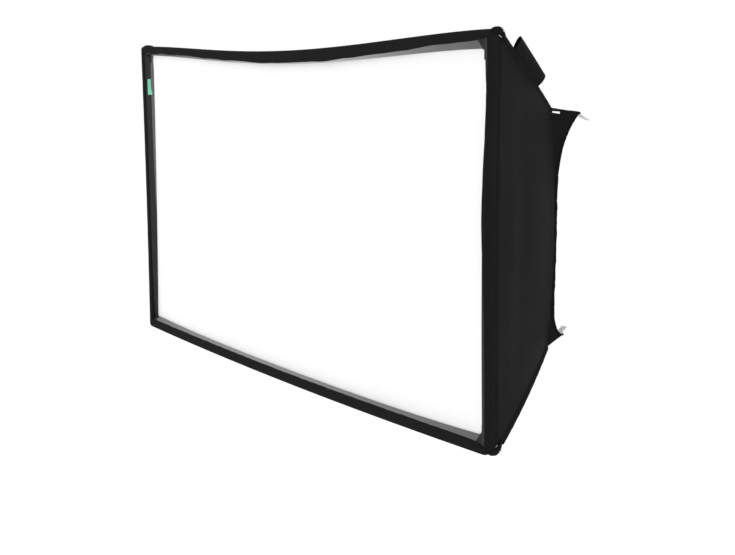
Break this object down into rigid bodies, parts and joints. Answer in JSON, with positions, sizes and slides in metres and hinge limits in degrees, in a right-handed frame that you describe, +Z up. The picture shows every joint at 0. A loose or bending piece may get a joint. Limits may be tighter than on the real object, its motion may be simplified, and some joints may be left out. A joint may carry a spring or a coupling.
{
  "type": "strip softbox",
  "caption": "Wide rectangular fabric softbox with a white diffuser, sprung rods in a folding front frame, silver inside and an elastic rear collar that grips a long studio light.",
  "frame": {"origin": "centre of the rear seam, in the middle of the collar that takes the light", "axes": "+X to the right seen from the front, +Y back towards the light, +Z up; the white front faces -Y"},
  "size_m": [1.4094, 0.3299, 0.7123],
  "materials": {
    "frame_rod": "satin fibreglass",
    "ridge_rod": "satin fibreglass",
    "pale_rod": "satin fibreglass",
    "moulded_plastic": "fine moulded grain",
    "pin_steel": "satin",
    "hinge_metal": "satin",
    "rim_cloth": "woven nylon",
    "black_cloth": "coated woven nylon",
    "sleeve_cloth": "woven nylon",
    "loop_tape": "brushed loop pile",
    "diffuser_cloth": "fine white diffusion cloth",
    "silver_lining": "metallised cloth",
    "elastic": "woven elastic",
    "white_webbing": "woven webbing",
    "label_tape": "smooth woven tape",
    "green_tape": "woven tape"
  },
  "bodies": {
    "front_left": {"front_rod_top_left": "frame_rod", "front_rod_bottom_left": "frame_rod", "side_rod_left": "frame_rod", "corner_joint_top_left": "moulded_plastic", "corner_joint_bottom_left": "moulded_plastic", "ridge_stubs_left": "pale_rod", "ridge_pins_left": "pin_steel", "hinge_leaf_top_left": "hinge_metal", "hinge_leaf_bottom_left": "hinge_metal", "rim_side_left": "rim_cloth", "rim_top_left": "rim_cloth", "rim_bottom_left": "rim_cloth", "loop_tape_left": "loop_tape", "diffuser_left": "diffuser_cloth", "side_panel_left": "black_cloth", "top_panel_left": "black_cloth", "bottom_panel_left": "black_cloth", "lining_left": "silver_lining", "ridge_sleeves_left": "sleeve_cloth", "rear_collar_left": "black_cloth", "collar_hem_left": "elastic", "pull_tabs_left": "white_webbing", "hinge_pins": "pin_steel", "release_tab": "green_tape"},
    "front_right": {"front_rod_top_right": "frame_rod", "front_rod_bottom_right": "frame_rod", "side_rod_right": "frame_rod", "corner_joint_top_right": "moulded_plastic", "corner_joint_bottom_right": "moulded_plastic", "ridge_stubs_right": "pale_rod", "ridge_pins_right": "pin_steel", "hinge_leaf_top_right": "hinge_metal", "hinge_leaf_bottom_right": "hinge_metal", "rim_side_right": "rim_cloth", "rim_top_right": "rim_cloth", "rim_bottom_right": "rim_cloth", "loop_tape_right": "loop_tape", "diffuser_right": "diffuser_cloth", "side_panel_right": "black_cloth", "top_panel_right": "black_cloth", "bottom_panel_right": "black_cloth", "lining_right": "silver_lining", "ridge_sleeves_right": "sleeve_cloth", "rear_collar_right": "black_cloth", "collar_hem_right": "elastic", "pull_tabs_right": "white_webbing", "label_loop": "label_tape"},
    "ridge_top_left": {"ridge_eye_top_left": "moulded_plastic", "ridge_rod_top_left": "ridge_rod", "ridge_cap_top_left": "moulded_plastic"},
    "ridge_top_right": {"ridge_eye_top_right": "moulded_plastic", "ridge_rod_top_right": "ridge_rod", "ridge_cap_top_right": "moulded_plastic"},
    "ridge_bottom_left": {"ridge_eye_bottom_left": "moulded_plastic", "ridge_rod_bottom_left": "ridge_rod", "ridge_cap_bottom_left": "moulded_plastic"},
    "ridge_bottom_right": {"ridge_eye_bottom_right": "moulded_plastic", "ridge_rod_bottom_right": "ridge_rod", "ridge_cap_bottom_right": "moulded_plastic"}
  },
  "joints": [
    {"name": "frame_fold", "type": "hinge", "parent": "front_left", "child": "front_right", "pos_m": [0, -0.2145, 0], "axis": [0, 0, 1], "range_deg": [0, 170], "deforming": ["side_panel_left", "top_panel_left", "bottom_panel_left", "lining_left", "ridge_sleeves_left", "rear_collar_left", "collar_hem_left", "pull_tabs_left", "side_panel_right", "top_panel_right", "bottom_panel_right", "lining_right", "ridge_sleeves_right", "rear_collar_right", "collar_hem_right", "pull_tabs_right", "label_loop"]},
    {"name": "ridge_fold_top_left", "type": "hinge", "parent": "front_left", "child": "ridge_top_left", "pos_m": [-0.69241, -0.211, 0.34241], "axis": [-0.7071, 0, -0.7071], "range_deg": [0, 43.5]},
    {"name": "ridge_fold_top_right", "type": "hinge", "parent": "front_right", "child": "ridge_top_right", "pos_m": [0.69241, -0.211, 0.34241], "axis": [-0.7071, 0, 0.7071], "range_deg": [0, 43.5]},
    {"name": "ridge_fold_bottom_left", "type": "hinge", "parent": "front_left", "child": "ridge_bottom_left", "pos_m": [-0.69279, -0.211, -0.34279], "axis": [0.7071, 0, -0.7071], "range_deg": [0, 43.5]},
    {"name": "ridge_fold_bottom_right", "type": "hinge", "parent": "front_right", "child": "ridge_bottom_right", "pos_m": [0.69279, -0.211, -0.34279], "axis": [0.7071, 0, 0.7071], "range_deg": [0, 43.5]}
  ],
  "couplings": [
    {"joint": "ridge_fold_top_left", "follows": "frame_fold", "ratio": 0.25588},
    {"joint": "ridge_fold_top_right", "follows": "frame_fold", "ratio": 0.25588},
    {"joint": "ridge_fold_bottom_left", "follows": "frame_fold", "ratio": 0.25588},
    {"joint": "ridge_fold_bottom_right", "follows": "frame_fold", "ratio": 0.25588}
  ]
}
